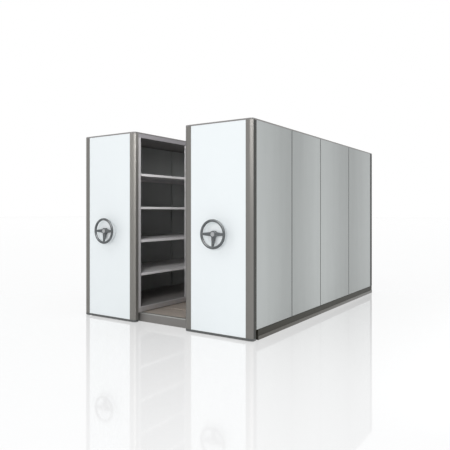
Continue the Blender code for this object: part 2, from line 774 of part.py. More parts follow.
def build_handwheel(name, parent):
    """The dished handwheel: hub, three spokes and round rim, on the hub's middle plane."""
    half_hub = HUB_LENGTH / 2
    wheel = add_piece(name, rod_mesh(name, HUB_RADIUS, (-half_hub, half_hub)), "wheel_casting", parent)
    wheel.location = (0.0, HUB_MIDDLE, 0.0)
    for angle in SPOKE_ANGLES:
        combine(wheel, spoke_mesh(angle), "UNION", wheel.location)
    bpy.ops.mesh.primitive_torus_add(
        major_radius=(HANDWHEEL_DIAMETER - RIM_DIAMETER) / 2,
        minor_radius=RIM_DIAMETER / 2,
        major_segments=2 * ROUND_SIDES,
        minor_segments=RIM_SIDES,
    )
    ring = bpy.context.object
    rim = ring.data
    bpy.data.objects.remove(ring, do_unlink=True)
    rim.transform(Matrix.Rotation(math.pi / 2, 4, "X"))
    combine(wheel, rim, "UNION", (0.0, HUB_MIDDLE - HANDWHEEL_DISH, 0.0))


def build_hand_drive(prefix, axis):
    """The hub cap and hand shaft on the handwheel's axis."""
    cap_back = HUB_BACK - HUB_LENGTH - FIT
    bevel = CAP_THICKNESS / 2
    cap = [
        (0.0, cap_back),
        (CAP_RADIUS, cap_back),
        (CAP_RADIUS, cap_back - bevel),
        (CAP_RADIUS - bevel, cap_back - CAP_THICKNESS),
        (0.0, cap_back - CAP_THICKNESS),
    ]
    add_turned(f"{prefix}_hub_cap", cap, False, "bright_steel", axis, (0.0, 0.0, 0.0))
    span = (HUB_BACK + FIT, POST_DEPTH + END_PANEL_DEPTH / 2)
    shaft = rod_mesh("hand_shaft", SHAFT_RADIUS, span)
    add_piece(f"{prefix}_hand_shaft", shaft, "bright_steel", axis)


def pitch_radius(teeth):
    """The pitch radius of a sprocket."""
    return CHAIN_PITCH / (2 * math.sin(math.pi / teeth))


def build_sprocket(name, teeth, parent, along_y):
    """A flat sprocket with trapezoid teeth and a hole for its shaft."""
    root = pitch_radius(teeth) - TOOTH_DEDENDUM
    tip = pitch_radius(teeth) + TOOTH_ADDENDUM
    root_end, tip_start, tip_end = TOOTH_FLANKS
    outline = []
    for tooth in range(teeth):
        for radius, share in ((root, 0.0), (root, root_end), (tip, tip_start), (tip, tip_end)):
            angle = 2 * math.pi * (tooth + share) / teeth
            outline.append((radius * math.cos(angle), radius * math.sin(angle)))
    hole = circle(0.0, 0.0, around(SHAFT_RADIUS + FIT))
    half = SPROCKET_THICKNESS / 2
    span = (along_y - half, along_y + half)
    add_piece(name, outline_mesh(name, [outline, hole], "XZ", span), "bright_steel", parent)


def chain_loop(side, offset, outside=False):
    """The closed path round both sprockets, moved out from the pitch line by offset."""
    upper = (0.0, HANDWHEEL_HEIGHT)
    lower = (side * DRIVE_OFFSET, AXLE_HEIGHT)
    upper_radius = pitch_radius(UPPER_TEETH) + offset
    lower_radius = pitch_radius(LOWER_TEETH) + offset
    way = math.atan2(lower[1] - upper[1], lower[0] - upper[0])
    spread = math.acos((upper_radius - lower_radius) / math.dist(upper, lower))
    middle = math.degrees(way)
    lean = math.degrees(spread)
    if outside:
        upper_radius = around(upper_radius, ROUND_SIDES)
        lower_radius = around(lower_radius, ROUND_SIDES)
    steps = ROUND_SIDES // 2 + 2
    points = arc(*upper, upper_radius, middle + lean, middle + 360.0 - lean, steps)
    points += arc(*lower, lower_radius, middle - lean, middle + lean, steps)
    return points


def build_chain(name, side, parent):
    """The chain as one closed loop, with the groove in which the teeth run."""
    half = CHAIN_WIDTH / 2
    loops = [chain_loop(side, CHAIN_HALF_HEIGHT), chain_loop(side, -CHAIN_HALF_HEIGHT)]
    span = (CHAIN_Y - half, CHAIN_Y + half)
    chain = add_piece(name, outline_mesh(name, loops, "XZ", span), "chain_steel", parent)
    groove_half = SPROCKET_THICKNESS / 2 + CHAIN_FIT
    groove = outline_mesh(
        "chain_groove",
        [chain_loop(side, TOOTH_ADDENDUM + CHAIN_FIT, True)],
        "XZ",
        (CHAIN_Y - groove_half, CHAIN_Y + groove_half),
    )
    combine(chain, groove, "DIFFERENCE")


def wheel_profile(rail_y, flanged):
    """The (radius, y) points of one wheel on its shaft, from its back to its front."""
    half = WHEEL_WIDTH / 2
    chamfer = FLANGE_THICKNESS / 2
    if flanged:
        rim = WHEEL_RADIUS + FLANGE_HEIGHT
        return [
            (SHAFT_RADIUS, rail_y + WHEEL_REACH),
            (rim, rail_y + WHEEL_REACH),
            (rim, rail_y + half + chamfer),
            (WHEEL_RADIUS, rail_y + half),
            (WHEEL_RADIUS, rail_y - half),
            (rim, rail_y - half - chamfer),
            (rim, rail_y - WHEEL_REACH),
            (SHAFT_RADIUS, rail_y - WHEEL_REACH),
        ]
    return [
        (SHAFT_RADIUS, rail_y + half),
        (WHEEL_RADIUS - chamfer, rail_y + half),
        (WHEEL_RADIUS, rail_y + half - chamfer),
        (WHEEL_RADIUS, rail_y - half + chamfer),
        (WHEEL_RADIUS - chamfer, rail_y - half),
        (SHAFT_RADIUS, rail_y - half),
    ]


def build_wheelset(name, front_y, axis):
    """A shaft with a wheel on each rail; the middle wheel has guide flanges."""
    back_y = OUTER_RAIL_Y + WEB_REACH + WEB_THICKNESS + SHAFT_RADIUS
    profile = [(0.0, back_y), (SHAFT_RADIUS, back_y)]
    for rail_name, rail_y in reversed(list(zip(RAIL_NAMES, RAIL_YS))):
        profile += wheel_profile(rail_y, rail_name == "middle")
    profile += [(SHAFT_RADIUS, front_y), (0.0, front_y)]
    add_turned(name, profile, False, "bright_steel", axis, (0.0, 0.0, 0.0))


def build_carriage(prefix, side):
    """One carriage; side 1 stands at the left and faces the aisle along +X, -1 the other way."""
    centre_x = -side * (AISLE_WIDTH / 2 + HALF_WIDTH)
    body = add_axis(f"{prefix}_carriage", (centre_x, 0.0, 0.0))
    build_base(f"{prefix}_base", side, body)
    build_shelves(prefix, side, body)
    build_aisle_frame(f"{prefix}_aisle_frame", side, body)
    build_outer_panels(prefix, side, body)
    build_end_panel(f"{prefix}_end_panel", side, body)
    build_rear_panel(f"{prefix}_rear_panel", body)
    build_roof(f"{prefix}_roof", body)
    build_kick(f"{prefix}_kick_trim", body)
    build_post(f"{prefix}_aisle_post", side, body)
    build_post(f"{prefix}_outer_post", -side, body)
    build_front_panel(f"{prefix}_front_panel", body)
    build_bearing_plate(f"{prefix}_bearing_plate", body)
    build_chain(f"{prefix}_chain", side, body)
    hand_axis = add_axis(f"{prefix}_handwheel_axis", (0.0, FRONT_Y, HANDWHEEL_HEIGHT), body)
    build_handwheel(f"{prefix}_handwheel", hand_axis)
    build_hand_drive(prefix, hand_axis)
    build_sprocket(f"{prefix}_upper_sprocket", UPPER_TEETH, hand_axis, CHAIN_PLANE)
    drive_axis = add_axis(f"{prefix}_drive_axis", (side * DRIVE_OFFSET, 0.0, AXLE_HEIGHT), body)
    build_wheelset(f"{prefix}_drive_wheelset", CHAIN_Y - CHAIN_WIDTH / 2, drive_axis)
    build_sprocket(f"{prefix}_lower_sprocket", LOWER_TEETH, drive_axis, CHAIN_Y)
    idle_axis = add_axis(f"{prefix}_idle_axis", (side * IDLE_OFFSET, 0.0, AXLE_HEIGHT), body)
    idle_front_y = -OUTER_RAIL_Y - WEB_REACH - WEB_THICKNESS - SHAFT_RADIUS
    build_wheelset(f"{prefix}_idle_wheelset", idle_front_y, idle_axis)


def main():
    start_scene()
    build_track()
    build_carriage("left", 1)
    build_carriage("right", -1)
    bpy.context.view_layer.update()


main()
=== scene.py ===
# %% [markdown]
# # Mobile shelving compactor: its looks
#
# Two tall shelf carriages stand on a low platform and roll along rails, so that one aisle can be
# opened where it is needed. The packed model holds every solid of it at its real size. This lesson
# loads those solids, gives each one the finish of the real thing, and models anew the few pieces
# whose roundings and edges matter most to the eye.

import json
import math

import bmesh
import bpy
from mathutils import Matrix, Vector


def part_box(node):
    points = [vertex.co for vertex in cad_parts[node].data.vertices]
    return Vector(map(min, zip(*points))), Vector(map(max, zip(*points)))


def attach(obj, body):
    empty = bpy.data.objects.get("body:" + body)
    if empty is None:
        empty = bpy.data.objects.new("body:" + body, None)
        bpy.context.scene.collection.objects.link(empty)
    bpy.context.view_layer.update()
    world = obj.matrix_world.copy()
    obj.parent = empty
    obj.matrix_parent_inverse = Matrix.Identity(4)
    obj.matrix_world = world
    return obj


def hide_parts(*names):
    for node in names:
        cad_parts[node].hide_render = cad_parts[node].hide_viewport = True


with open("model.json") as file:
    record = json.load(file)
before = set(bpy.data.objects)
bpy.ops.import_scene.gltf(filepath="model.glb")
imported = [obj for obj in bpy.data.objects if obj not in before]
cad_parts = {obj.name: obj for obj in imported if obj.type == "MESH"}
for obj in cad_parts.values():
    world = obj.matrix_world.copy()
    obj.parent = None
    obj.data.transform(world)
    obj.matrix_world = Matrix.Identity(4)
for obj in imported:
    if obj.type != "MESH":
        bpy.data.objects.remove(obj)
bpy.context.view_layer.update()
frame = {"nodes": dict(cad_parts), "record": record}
nodes = frame["nodes"]
scene = bpy.context.scene

# %% [markdown]
# ## Camera
#
# The photograph was taken at standing eye level, square to the ground, so upright edges stay
# upright. A camera with no tilt does that, and a small lens shift puts the horizon where the picture
# has it. The place, the turn and the focal length come from a fit of the carriages' corners, in
# pixels of a square picture. Tilting the camera would have been simpler, but then posts would lean.

# %% Camera
PICTURE_SIDE = 450.0
FOCAL_PIXELS = 507.0
HORIZON_ROW = 211.85
EYE = (3.729, -6.173, 1.276)
TURN = math.radians(33.726)
LEVEL = math.radians(90.0)

lens = bpy.data.cameras.new("eye_level_lens")
lens.lens = lens.sensor_width * FOCAL_PIXELS / PICTURE_SIDE
lens.shift_y = (HORIZON_ROW - PICTURE_SIDE / 2) / PICTURE_SIDE
camera = bpy.data.objects.new("eye_level_camera", lens)
camera.location = EYE
camera.rotation_euler = (LEVEL, 0.0, TURN)
scene.collection.objects.link(camera)
scene.camera = camera
print("lens", round(lens.lens, 2), "mm, shift", round(lens.shift_y, 4))

# %% [markdown]
# ## Writing shaders as sums
#
# A finish is a small graph of nodes. Wiring each node by hand hides the idea, so one class wraps a
# node's output and lets Python's operators add the Math nodes. Every other node comes from its one
# `node` method, which sets the node up first and then fills or links its sockets.


# %% A socket that works in expressions
class Socket:
    """One output of a node in a material or a world."""

    def __init__(self, tree, output):
        self.tree = tree
        self.output = output

    def node(self, kind, settings, inputs, output=0):
        """Add a node to the same tree and return one of its outputs."""
        made = self.tree.nodes.new(kind)
        for name, value in settings.items():
            setattr(made, name, value)
        for name, value in inputs.items():
            if isinstance(value, Socket):
                self.tree.links.new(value.output, made.inputs[name])
            else:
                made.inputs[name].default_value = value
        return Socket(self.tree, made.outputs[output])

    def math(self, operation, first, second):
        """Add a Math node of two values."""
        return self.node("ShaderNodeMath", {"operation": operation}, {0: first, 1: second})

    def __add__(self, other):
        return self.math("ADD", self, other)

    def __sub__(self, other):
        return self.math("SUBTRACT", self, other)

    def __rsub__(self, other):
        return self.math("SUBTRACT", other, self)

    def __mul__(self, other):
        return self.math("MULTIPLY", self, other)

    def __gt__(self, other):
        return self.math("GREATER_THAN", self, other)

    def __lt__(self, other):
        return self.math("LESS_THAN", self, other)

    __radd__ = __add__
    __rmul__ = __mul__


print("reflected operators:", [name for name in vars(Socket) if name.startswith("__r")])

# %% [markdown]
# ## World
#
# The unit stands in a white studio. A pale, slightly cool world lights all its sides evenly, at a
# plain level at which a colour comes out about as it is written. The camera and mirrors should see
# pure white instead. A big white screen behind the unit could do that, but it would stand in the way
# of the other views. Here the Light Path node tells which rays look and which only carry light, and
# a smooth step turns their sum into a share between two backgrounds.


# %% Rays that look
LOOKING_RAYS = ("Is Camera Ray", "Is Glossy Ray", "Is Transmission Ray")


def soft_step(value, start, end):
    """A smooth rise from 0 at start to 1 at end."""
    wanted = {"Value": value, "From Min": start, "From Max": end}
    return value.node("ShaderNodeMapRange", {"interpolation_type": "SMOOTHSTEP"}, wanted)


def looking(tree):
    """1 for rays from the camera, a mirror or glass, and 0 for rays that only carry light."""
    path = tree.nodes.new("ShaderNodeLightPath")
    camera_ray, glossy_ray, through_ray = [Socket(tree, path.outputs[name]) for name in LOOKING_RAYS]
    return soft_step(camera_ray + glossy_ray + through_ray, start=0.0, end=1.0)


def feed(shader, values):
    """Link sockets to the inputs of a shader or an output node."""
    for name, value in values.items():
        shader.id_data.links.new(value.output, shader.inputs[name])


print("rays that look:", LOOKING_RAYS)

# %% Soft studio world
WHITE = (1.0, 1.0, 1.0, 1.0)
COOL_WHITE = (0.97, 0.985, 1.0, 1.0)
WORLD_STRENGTH = 0.84

scene.view_settings.view_transform = "Standard"
world = bpy.data.worlds.new("soft_studio")
world.use_nodes = True
scene.world = world
world.node_tree.nodes.remove(world.node_tree.nodes["Background"])
seen = looking(world.node_tree)
white_sky = seen.node("ShaderNodeBackground", {}, {"Color": WHITE, "Strength": 1.0})
soft_sky = seen.node("ShaderNodeBackground", {}, {"Color": COOL_WHITE, "Strength": WORLD_STRENGTH})
sky = seen.node("ShaderNodeMixShader", {}, {0: seen, 1: soft_sky, 2: white_sky})
feed(world.node_tree.nodes["World Output"], {"Surface": sky})
print(world.name, "lights at", WORLD_STRENGTH)

# %% [markdown]
# ## Lamps
#
# Area lamps give the even world a little direction. A far one near the camera lifts the fronts. A
# small one high on the left lays a faint shadow to the lower right of each handwheel, and a low one
# on the right lifts the foot of the long side. A narrow one reaches into the aisle. Two wide ones
# overhead are for gloss alone: one draws the bright line down the rounded posts, the other the
# highlights on the wheels. Brighter lamps for all would bleach the white fronts, so light linking
# keeps the aisle lamp and the two gloss lamps to the pieces that need them.


# %% Lamp makers
def area_lamp(name, place, aim, size, power, beam=math.pi, gloss_only=False):
    """A rectangular lamp that shines from its place towards its aim."""
    lamp_data = bpy.data.lights.new(name, "AREA")
    lamp_data.shape = "RECTANGLE"
    lamp_data.size, lamp_data.size_y = size
    lamp_data.energy = power
    lamp_data.spread = beam
    lamp = bpy.data.objects.new(name, lamp_data)
    lamp.location = place
    lamp.rotation_euler = (Vector(aim) - lamp.location).to_track_quat("-Z", "Y").to_euler()
    lamp.visible_diffuse = not gloss_only
    lamp.visible_glossy = gloss_only
    scene.collection.objects.link(lamp)
    print(name, power, "W", "in gloss only" if gloss_only else "without a mirror image")
    return lamp


def pieces_lit_by(lamp):
    """A collection of the only pieces that a lamp lights, to be filled as they are finished."""
    lit = bpy.data.collections.new(f"lit_by_{lamp.name}")
    lamp.light_linking.receiver_collection = lit
    return lit


# %% Lamps
AISLE_BEAM = math.radians(60.0)

area_lamp("camera_lamp", place=(4.6, -12.5, 2.9), aim=(0.2, -1.9, 1.1), size=(2.4, 1.4), power=285.0)
post_lamp = area_lamp(
    "post_lamp", place=(3.3, -7.9, 4.4), aim=(1.2, -1.9, 1.6), size=(8.0, 2.6),
    power=560.0, gloss_only=True,
)
rim_lamp = area_lamp(
    "rim_lamp", place=(1.8, -4.6, 5.2), aim=(0.0, -1.9, 1.0), size=(7.0, 4.0),
    power=950.0, gloss_only=True,
)
area_lamp("left_lamp", place=(-1.4, -6.2, 6.0), aim=(0.4, -1.2, 1.0), size=(1.5, 1.5), power=18.0)
area_lamp("side_lamp", place=(3.4, -0.6, 0.35), aim=(1.2, -0.6, 0.25), size=(4.4, 0.5), power=13.0)
aisle_lamp = area_lamp(
    "aisle_lamp", place=(1.6, -4.6, 3.0), aim=(-0.37, -1.7, 2.0), size=(0.7, 0.7),
    power=14.0, beam=AISLE_BEAM,
)
lit_posts = pieces_lit_by(post_lamp)
lit_wheels = pieces_lit_by(rim_lamp)
lit_aisle_side = pieces_lit_by(aisle_lamp)

# %% [markdown]
# ## Floor
#
# The studio floor is polished white, so the unit stands on a faint mirror image of itself. Polish
# mirrors more at a flat angle than from above, which a Fresnel node gives as the share of a white
# gloss. Under the polish the floor is matt and keeps the unit's shadow. A glow that only looking rays
# see brings it close to the white of the sky, so no extra light has to fall on the unit. Three words
# that every finish needs are made here first: cloudy noise, a mix of two colours, and the start of a
# material.


# %% Words for finishes
def cloud(place, scale, detail=2.0):
    """Noise from 0 to 1, with scale spots to the metre."""
    return place.node("ShaderNodeTexNoise", {}, {"Vector": place, "Scale": scale, "Detail": detail})


def tint(share, first, second):
    """The first colour where share is 0 and the second where it is 1."""
    colours = [colour if isinstance(colour, Socket) else (*colour, 1.0) for colour in (first, second)]
    inputs = {0: share, 6: colours[0], 7: colours[1]}
    return share.node("ShaderNodeMix", {"data_type": "RGBA"}, inputs, output=2)


def start_finish(name, constants):
    """Make a Principled material and return it, its shader and the place on the piece."""
    material = bpy.data.materials.new(name)
    material.use_nodes = True
    tree = material.node_tree
    shader = tree.nodes["Principled BSDF"]
    for socket, value in constants.items():
        shader.inputs[socket].default_value = value
    place = Socket(tree, tree.nodes.new("ShaderNodeTexCoord").outputs["Object"])
    return material, shader, place


print("words for finishes:", cloud.__name__, tint.__name__, start_finish.__name__)

# %% Floor finish
FLOOR_GLOW = 0.74
FLOOR_IOR = 1.45

floor_finish, shader, place = start_finish("studio_floor", {"Specular IOR Level": 0.0})
haze = cloud(place, scale=1.3, detail=3.0)
feed(shader, {"Base Color": tint(haze, (0.975, 0.975, 0.975), (0.985, 0.985, 0.985))})
lit = Socket(place.tree, shader.outputs["BSDF"])
glow = place.node("ShaderNodeEmission", {}, {"Color": WHITE, "Strength": 1.0})
glow_share = FLOOR_GLOW * looking(place.tree)
matte = place.node("ShaderNodeMixShader", {}, {0: glow_share, 1: lit, 2: glow})
gloss = {"Color": WHITE, "Roughness": 0.03 + 0.03 * haze}
mirror = place.node("ShaderNodeBsdfGlossy", {"distribution": "MULTI_GGX"}, gloss)
mirror_share = place.node("ShaderNodeFresnel", {}, {"IOR": FLOOR_IOR})
polished = place.node("ShaderNodeMixShader", {}, {0: mirror_share, 1: matte, 2: mirror})
feed(place.tree.nodes["Material Output"], {"Surface": polished})
print("floor finish:", floor_finish.name)

# %% Floor
FLOOR_HALF = 120.0

shape = bmesh.new()
bmesh.ops.create_grid(shape, x_segments=1, y_segments=1, size=FLOOR_HALF)
floor_mesh = bpy.data.meshes.new("studio_floor")
shape.to_mesh(floor_mesh)
shape.free()
floor_mesh.materials.append(floor_finish)
floor = bpy.data.objects.new("studio_floor", floor_mesh)
scene.collection.objects.link(floor)
print("floor", 2 * FLOOR_HALF, "m wide")

# %% [markdown]
# ## Powder-coated steel
#
# The fronts, the shelves and the roofs are sheet steel with a baked powder coat. Up close it has the
# fine dimples of orange peel, and from afar its shade drifts a little over each sheet. One recipe
# gives both: a broad cloud moves the colour, a fine cloud bumps the surface and moves the gloss. A
# scanned picture would show the same, but would not fit every sheet.


# %% Clouds of a coated sheet
COAT_GLOSS = {"Specular IOR Level": 0.45}
DRIFT_STRETCH = (1.0, 1.0, 0.45)
PEEL_BUMP = 0.35


def stretched(place, factors):
    """A place with its axes stretched, so that a pattern on it runs in streaks."""
    return place.node("ShaderNodeVectorMath", {"operation": "MULTIPLY"}, {0: place, 1: factors})


def bumped(height, strength, distance):
    """A normal that follows a height."""
    return height.node("ShaderNodeBump", {}, {"Strength": strength, "Distance": distance, "Height": height})


def slow_drift(place):
    """The slow drift of shade over a sheet."""
    return cloud(stretched(place, DRIFT_STRETCH), scale=2.1, detail=3.0)


def fine_peel(place):
    """The fine dimples of a coat."""
    return cloud(place, scale=420.0)


def handling_marks(place):
    """The broad patches where hands have changed the gloss."""
    return cloud(place, scale=9.0, detail=4.0)


print("coated sheets drift along Z by", DRIFT_STRETCH[2])


# %% Powder coats
def powder_coat(name, deep, pale, roughness, peel_height):
    """A baked powder coat between two close shades."""
    material, shader, place = start_finish(name, COAT_GLOSS)
    peel = fine_peel(place)
    feed(shader, {
        "Base Color": tint(slow_drift(place) * 0.75 + peel * 0.25, deep, pale),
        "Roughness": roughness + 0.10 * handling_marks(place) + 0.05 * peel,
        "Normal": bumped(peel, PEEL_BUMP, peel_height),
    })
    return material


finishes = {
    "white_panel": powder_coat(
        "white_front_coat", deep=(0.795, 0.832, 0.844), pale=(0.825, 0.862, 0.870),
        roughness=0.24, peel_height=0.00012,
    ),
    "light_enamel": powder_coat(
        "pale_shelf_coat", deep=(0.590, 0.578, 0.580), pale=(0.655, 0.642, 0.645),
        roughness=0.30, peel_height=0.00018,
    ),
    "taupe_enamel": powder_coat(
        "taupe_frame_coat", deep=(0.205, 0.195, 0.190), pale=(0.255, 0.245, 0.238),
        roughness=0.34, peel_height=0.00020,
    ),
}
print("powder coats:", sorted(finishes))

# %% [markdown]
# ## Side cladding
#
# The long sides are clad with four grey sheets each. The shade of a sheet drifts from edge to edge,
# and back over the next one, so that a pale edge meets a pale edge and a deep one a deep one, with
# faint upright bands. A ramp texture for each sheet would need a material each. One smooth step over
# each sheet in turn, added or taken away, gives the drift of all four in one material. The rear
# panels wear the same coat at its palest.

# %% Side cladding
PANELS = (1, 2, 3, 4)
BAND_STRETCH = (1.0, 1.0, 0.08)
SIDE_PEEL_HEIGHT = 0.00025
panel_edges = [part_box(f"right_outer_panel_{number}")[0].y for number in PANELS]
panel_edges.append(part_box(f"right_outer_panel_{PANELS[-1]}")[1].y)


def axis(place, letter):
    """The distance along X, Y or Z."""
    return place.node("ShaderNodeSeparateXYZ", {}, {"Vector": place}, letter)


side_finish, shader, place = start_finish("grey_side_coat", COAT_GLOSS)
along = axis(place, "Y")
first, second, third, fourth = [soft_step(along, *edges) for edges in zip(panel_edges, panel_edges[1:])]
shade = 1.0 - first + second - third + fourth
bands = cloud(stretched(place, BAND_STRETCH), scale=9.0, detail=3.0)
peel = fine_peel(place)
feed(shader, {
    "Base Color": tint(shade * 0.7 + bands * 0.3, (0.298, 0.311, 0.305), (0.434, 0.453, 0.445)),
    "Roughness": 0.38 + 0.10 * handling_marks(place) + 0.05 * peel,
    "Normal": bumped(peel, PEEL_BUMP, SIDE_PEEL_HEIGHT),
})
finishes["grey_enamel"] = side_finish
print("side sheets meet at", [round(edge, 3) for edge in panel_edges])

# %% [markdown]
# ## Aisle frame
#
# The frame on the aisle side wears three shades: a taupe header, pale stiles between the bays, and a
# sill a little darker than the stiles. The sill's taupe is painted lighter than the header's, as
# painted light that lifts the shade of the aisle on it. It could be cut into pieces with a material
# each. Two hard steps along the height part the shades just as well, where the real frame has its
# folded corners.

# %% Aisle frame coat
HEADER_HEIGHT = 0.045
SILL_LIP = 0.008
PEEL_HEIGHT = 0.0002
sill_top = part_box("left_base")[1].z - SILL_LIP
header_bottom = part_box("left_aisle_frame")[1].z - HEADER_HEIGHT

frame_finish, shader, place = start_finish("aisle_frame_coat", COAT_GLOSS)
height = axis(place, "Z")
in_painted_light_sill = height < sill_top
in_stile = (height > sill_top) * (height < header_bottom)
drift = slow_drift(place)
peel = fine_peel(place)
header = tint(drift, (0.215, 0.205, 0.216), (0.266, 0.254, 0.266))
stile = tint(drift, (0.360, 0.350, 0.352), (0.408, 0.397, 0.399))
# The sill's lighter taupe is painted light against the aisle's shade.
painted_light_sill = tint(drift, (0.300, 0.285, 0.280), (0.360, 0.342, 0.335))
feed(shader, {
    "Base Color": tint(in_painted_light_sill, tint(in_stile, header, stile), painted_light_sill),
    "Roughness": 0.34 + 0.08 * peel,
    "Normal": bumped(peel, PEEL_BUMP, PEEL_HEIGHT),
})
print("stiles are pale from", round(sill_top, 3), "to", round(header_bottom, 3), "m")

# %% [markdown]
# ## Anodised profiles
#
# The corner posts, the strip at the platform's foot and its nosing are extruded aluminium with an
# anodised skin: satin, a little metallic, with fine die lines along the extrusion. Lines could be
# modelled as grooves, but they are far finer than a millimetre. Noise that is squeezed across and
# drawn out along one axis gives them in colour, gloss and bump at once.

# %% Anodised profiles
DIE_LINES_ALONG = 0.1
DIE_LINES_ACROSS = 260.0
FINE_LINE_DEPTH = 0.0001


def streaks(place, along, along_factor, across_factor):
    """A place on which noise runs in lines along one axis."""
    return stretched(place, tuple(along_factor if way == along else across_factor for way in "XYZ"))


def anodised(name, deep, pale, along):
    """Satin anodised aluminium with die lines that run along one axis."""
    material, shader, place = start_finish(name, {"Specular IOR Level": 0.5})
    lines = cloud(streaks(place, along, DIE_LINES_ALONG, DIE_LINES_ACROSS), scale=3.0)
    drift = cloud(place, scale=1.6)
    feed(shader, {
        "Base Color": tint(lines * 0.6 + drift * 0.4, deep, pale),
        "Metallic": 0.30 + 0.20 * drift,
        "Roughness": 0.28 + 0.16 * lines,
        "Normal": bumped(lines, 0.15, FINE_LINE_DEPTH),
    })
    return material


post_finish = anodised("taupe_anodised_upright", (0.145, 0.139, 0.128), (0.208, 0.200, 0.187), "Z")
foot_strip_finish = anodised("grey_anodised_strip", (0.096, 0.092, 0.081), (0.130, 0.125, 0.112), "Y")
# The nosing's pale colour is partly a painted highlight along the top of the front.
nosing_painted_highlight_finish = anodised("pale_anodised_nosing_painted_highlight", (0.320, 0.325, 0.305), (0.400, 0.405, 0.380), "X")
finishes["taupe_profile"] = post_finish
print("profiles:", post_finish.name, foot_strip_finish.name, nosing_painted_highlight_finish.name)

# %% [markdown]
# ## Platform edge
#
# The platform's edge is one frame with two looks. Its front and back are taupe like the posts. Its two
# ends along the carriages are painted dark olive brown. That is painted shade, for the shade that falls
# there under the carriages' overhanging sides, and it wraps a little way round the corners. The
# distance from the ends tells them apart, so one finish serves the whole frame.

# %% Platform edge finish
END_WRAP = 0.045
EDGE_LINES = (1.0, 1.0, 240.0)

edge_low, edge_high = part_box("platform_edge")
edge_finish, shader, place = start_finish("platform_edge_enamel", {"Specular IOR Level": 0.25})
across = axis(place, "X")
in_painted_end_shade = (across > edge_high.x - END_WRAP) + (across < edge_low.x + END_WRAP)
lines = cloud(stretched(place, EDGE_LINES), scale=3.0)
dust = cloud(place, scale=5.0, detail=4.0)
taupe = tint(dust, (0.178, 0.170, 0.161), (0.238, 0.229, 0.218))
# The dark olive of the ends is painted shade: the shade under the carriages' overhanging sides.
painted_shade_olive = tint(dust, (0.021, 0.020, 0.014), (0.034, 0.032, 0.023))
feed(shader, {
    "Base Color": tint(in_painted_end_shade, taupe, painted_shade_olive),
    "Roughness": 0.36 + 0.12 * dust + 0.08 * lines,
    "Normal": bumped(lines, 0.15, FINE_LINE_DEPTH),
})
print("platform edge:", edge_finish.name, "olive over", END_WRAP, "m at each end")

# %% [markdown]
# ## Dark trim
#
# The foot trim of the carriages, the groove strips and joint strips of the cladding, and the rear
# angles are dark and nearly matt, like moulded plastic. The near-black of the groove strips is
# painted shade. Such trim has a fine grain, and near the floor shoes and mops leave pale scuffs. The
# scuffs are stretched noise, cut off by a smooth step and faded out above a height.

# %% Dark trim finishes
SCUFF_STRETCH = (1.0, 1.0, 14.0)
SCUFF_COLOUR = (0.20, 0.195, 0.185)
GRAIN_DEPTH = 0.0002


def dark_plastic(name, deep, pale, scuff_top):
    """Moulded dark plastic, scuffed pale up to a height above the floor."""
    material, shader, place = start_finish(name, {"Specular IOR Level": 0.2})
    grain = cloud(place, scale=700.0)
    scratch = cloud(stretched(place, SCUFF_STRETCH), scale=18.0, detail=5.0)
    near_floor = 1.0 - soft_step(axis(place, "Z"), start=0.0, end=scuff_top)
    scuff = soft_step(scratch, start=0.56, end=0.72) * near_floor
    feed(shader, {
        "Base Color": tint(scuff, tint(grain, deep, pale), SCUFF_COLOUR),
        "Roughness": 0.42 + 0.15 * grain + 0.15 * scuff,
        "Normal": bumped(grain, 0.3, GRAIN_DEPTH),
    })
    return material


foot_trim_finish = dark_plastic("dark_foot_trim", (0.085, 0.088, 0.087), (0.125, 0.128, 0.126), 0.05)
# On the groove strips this near-black is painted shade. On the other joint strips it is their own dark
# colour.
joint_and_shade_strip_finish = dark_plastic("dark_joint_and_painted_shade_strip", (0.040, 0.042, 0.038), (0.062, 0.064, 0.058), 0.02)
angle_finish = dark_plastic("dark_rear_angle", (0.030, 0.031, 0.029), (0.046, 0.047, 0.044), 0.02)
finishes["dark_trim"] = foot_trim_finish
print("dark trim:", foot_trim_finish.name, joint_and_shade_strip_finish.name, angle_finish.name)

# %% [markdown]
# ## Deck
#
# The boards between the rails wear a taupe vinyl with a dry, streaky print along the rails, like worn
# oak. Long streaks move the colour, short dark pores break them up, and broad patches where people
# walk change the gloss.

# %% Deck finish
STREAK_STRETCH = (1.0, 22.0, 1.0)
PORE_STRETCH = (1.0, 6.0, 1.0)
PORE_COLOUR = (0.290, 0.254, 0.222)
PRINT_DEPTH = 0.0005

deck_finish, shader, place = start_finish("taupe_deck_vinyl", {"Specular IOR Level": 0.35})
streak = cloud(stretched(place, STREAK_STRETCH), scale=3.2, detail=6.0)
pore = cloud(stretched(place, PORE_STRETCH), scale=160.0)
worn = cloud(place, scale=2.4, detail=3.0)
printed = tint(streak, (0.400, 0.342, 0.292), (0.595, 0.522, 0.458))
feed(shader, {
    "Base Color": tint(soft_step(pore, start=0.30, end=0.46), PORE_COLOUR, printed),
    "Roughness": 0.40 + 0.20 * worn + 0.08 * streak,
    "Normal": bumped(streak * 0.5 + pore * 0.5, 0.3, PRINT_DEPTH),
})
finishes["deck_vinyl"] = deck_finish
print("deck:", deck_finish.name)

# %% [markdown]
# ## Bare steel
#
# Rails, shafts, wheels, sprockets and chains are bare steel: drawn, rolled or ground in one direction,
# with a film of oil that dulls it in spots. The same streaked noise as on the profiles makes the
# lines, and a full metallic value makes the steel.

# %% Steel finishes
TOOL_LINES_ALONG = 2.0
TOOL_LINES_ACROSS = 300.0


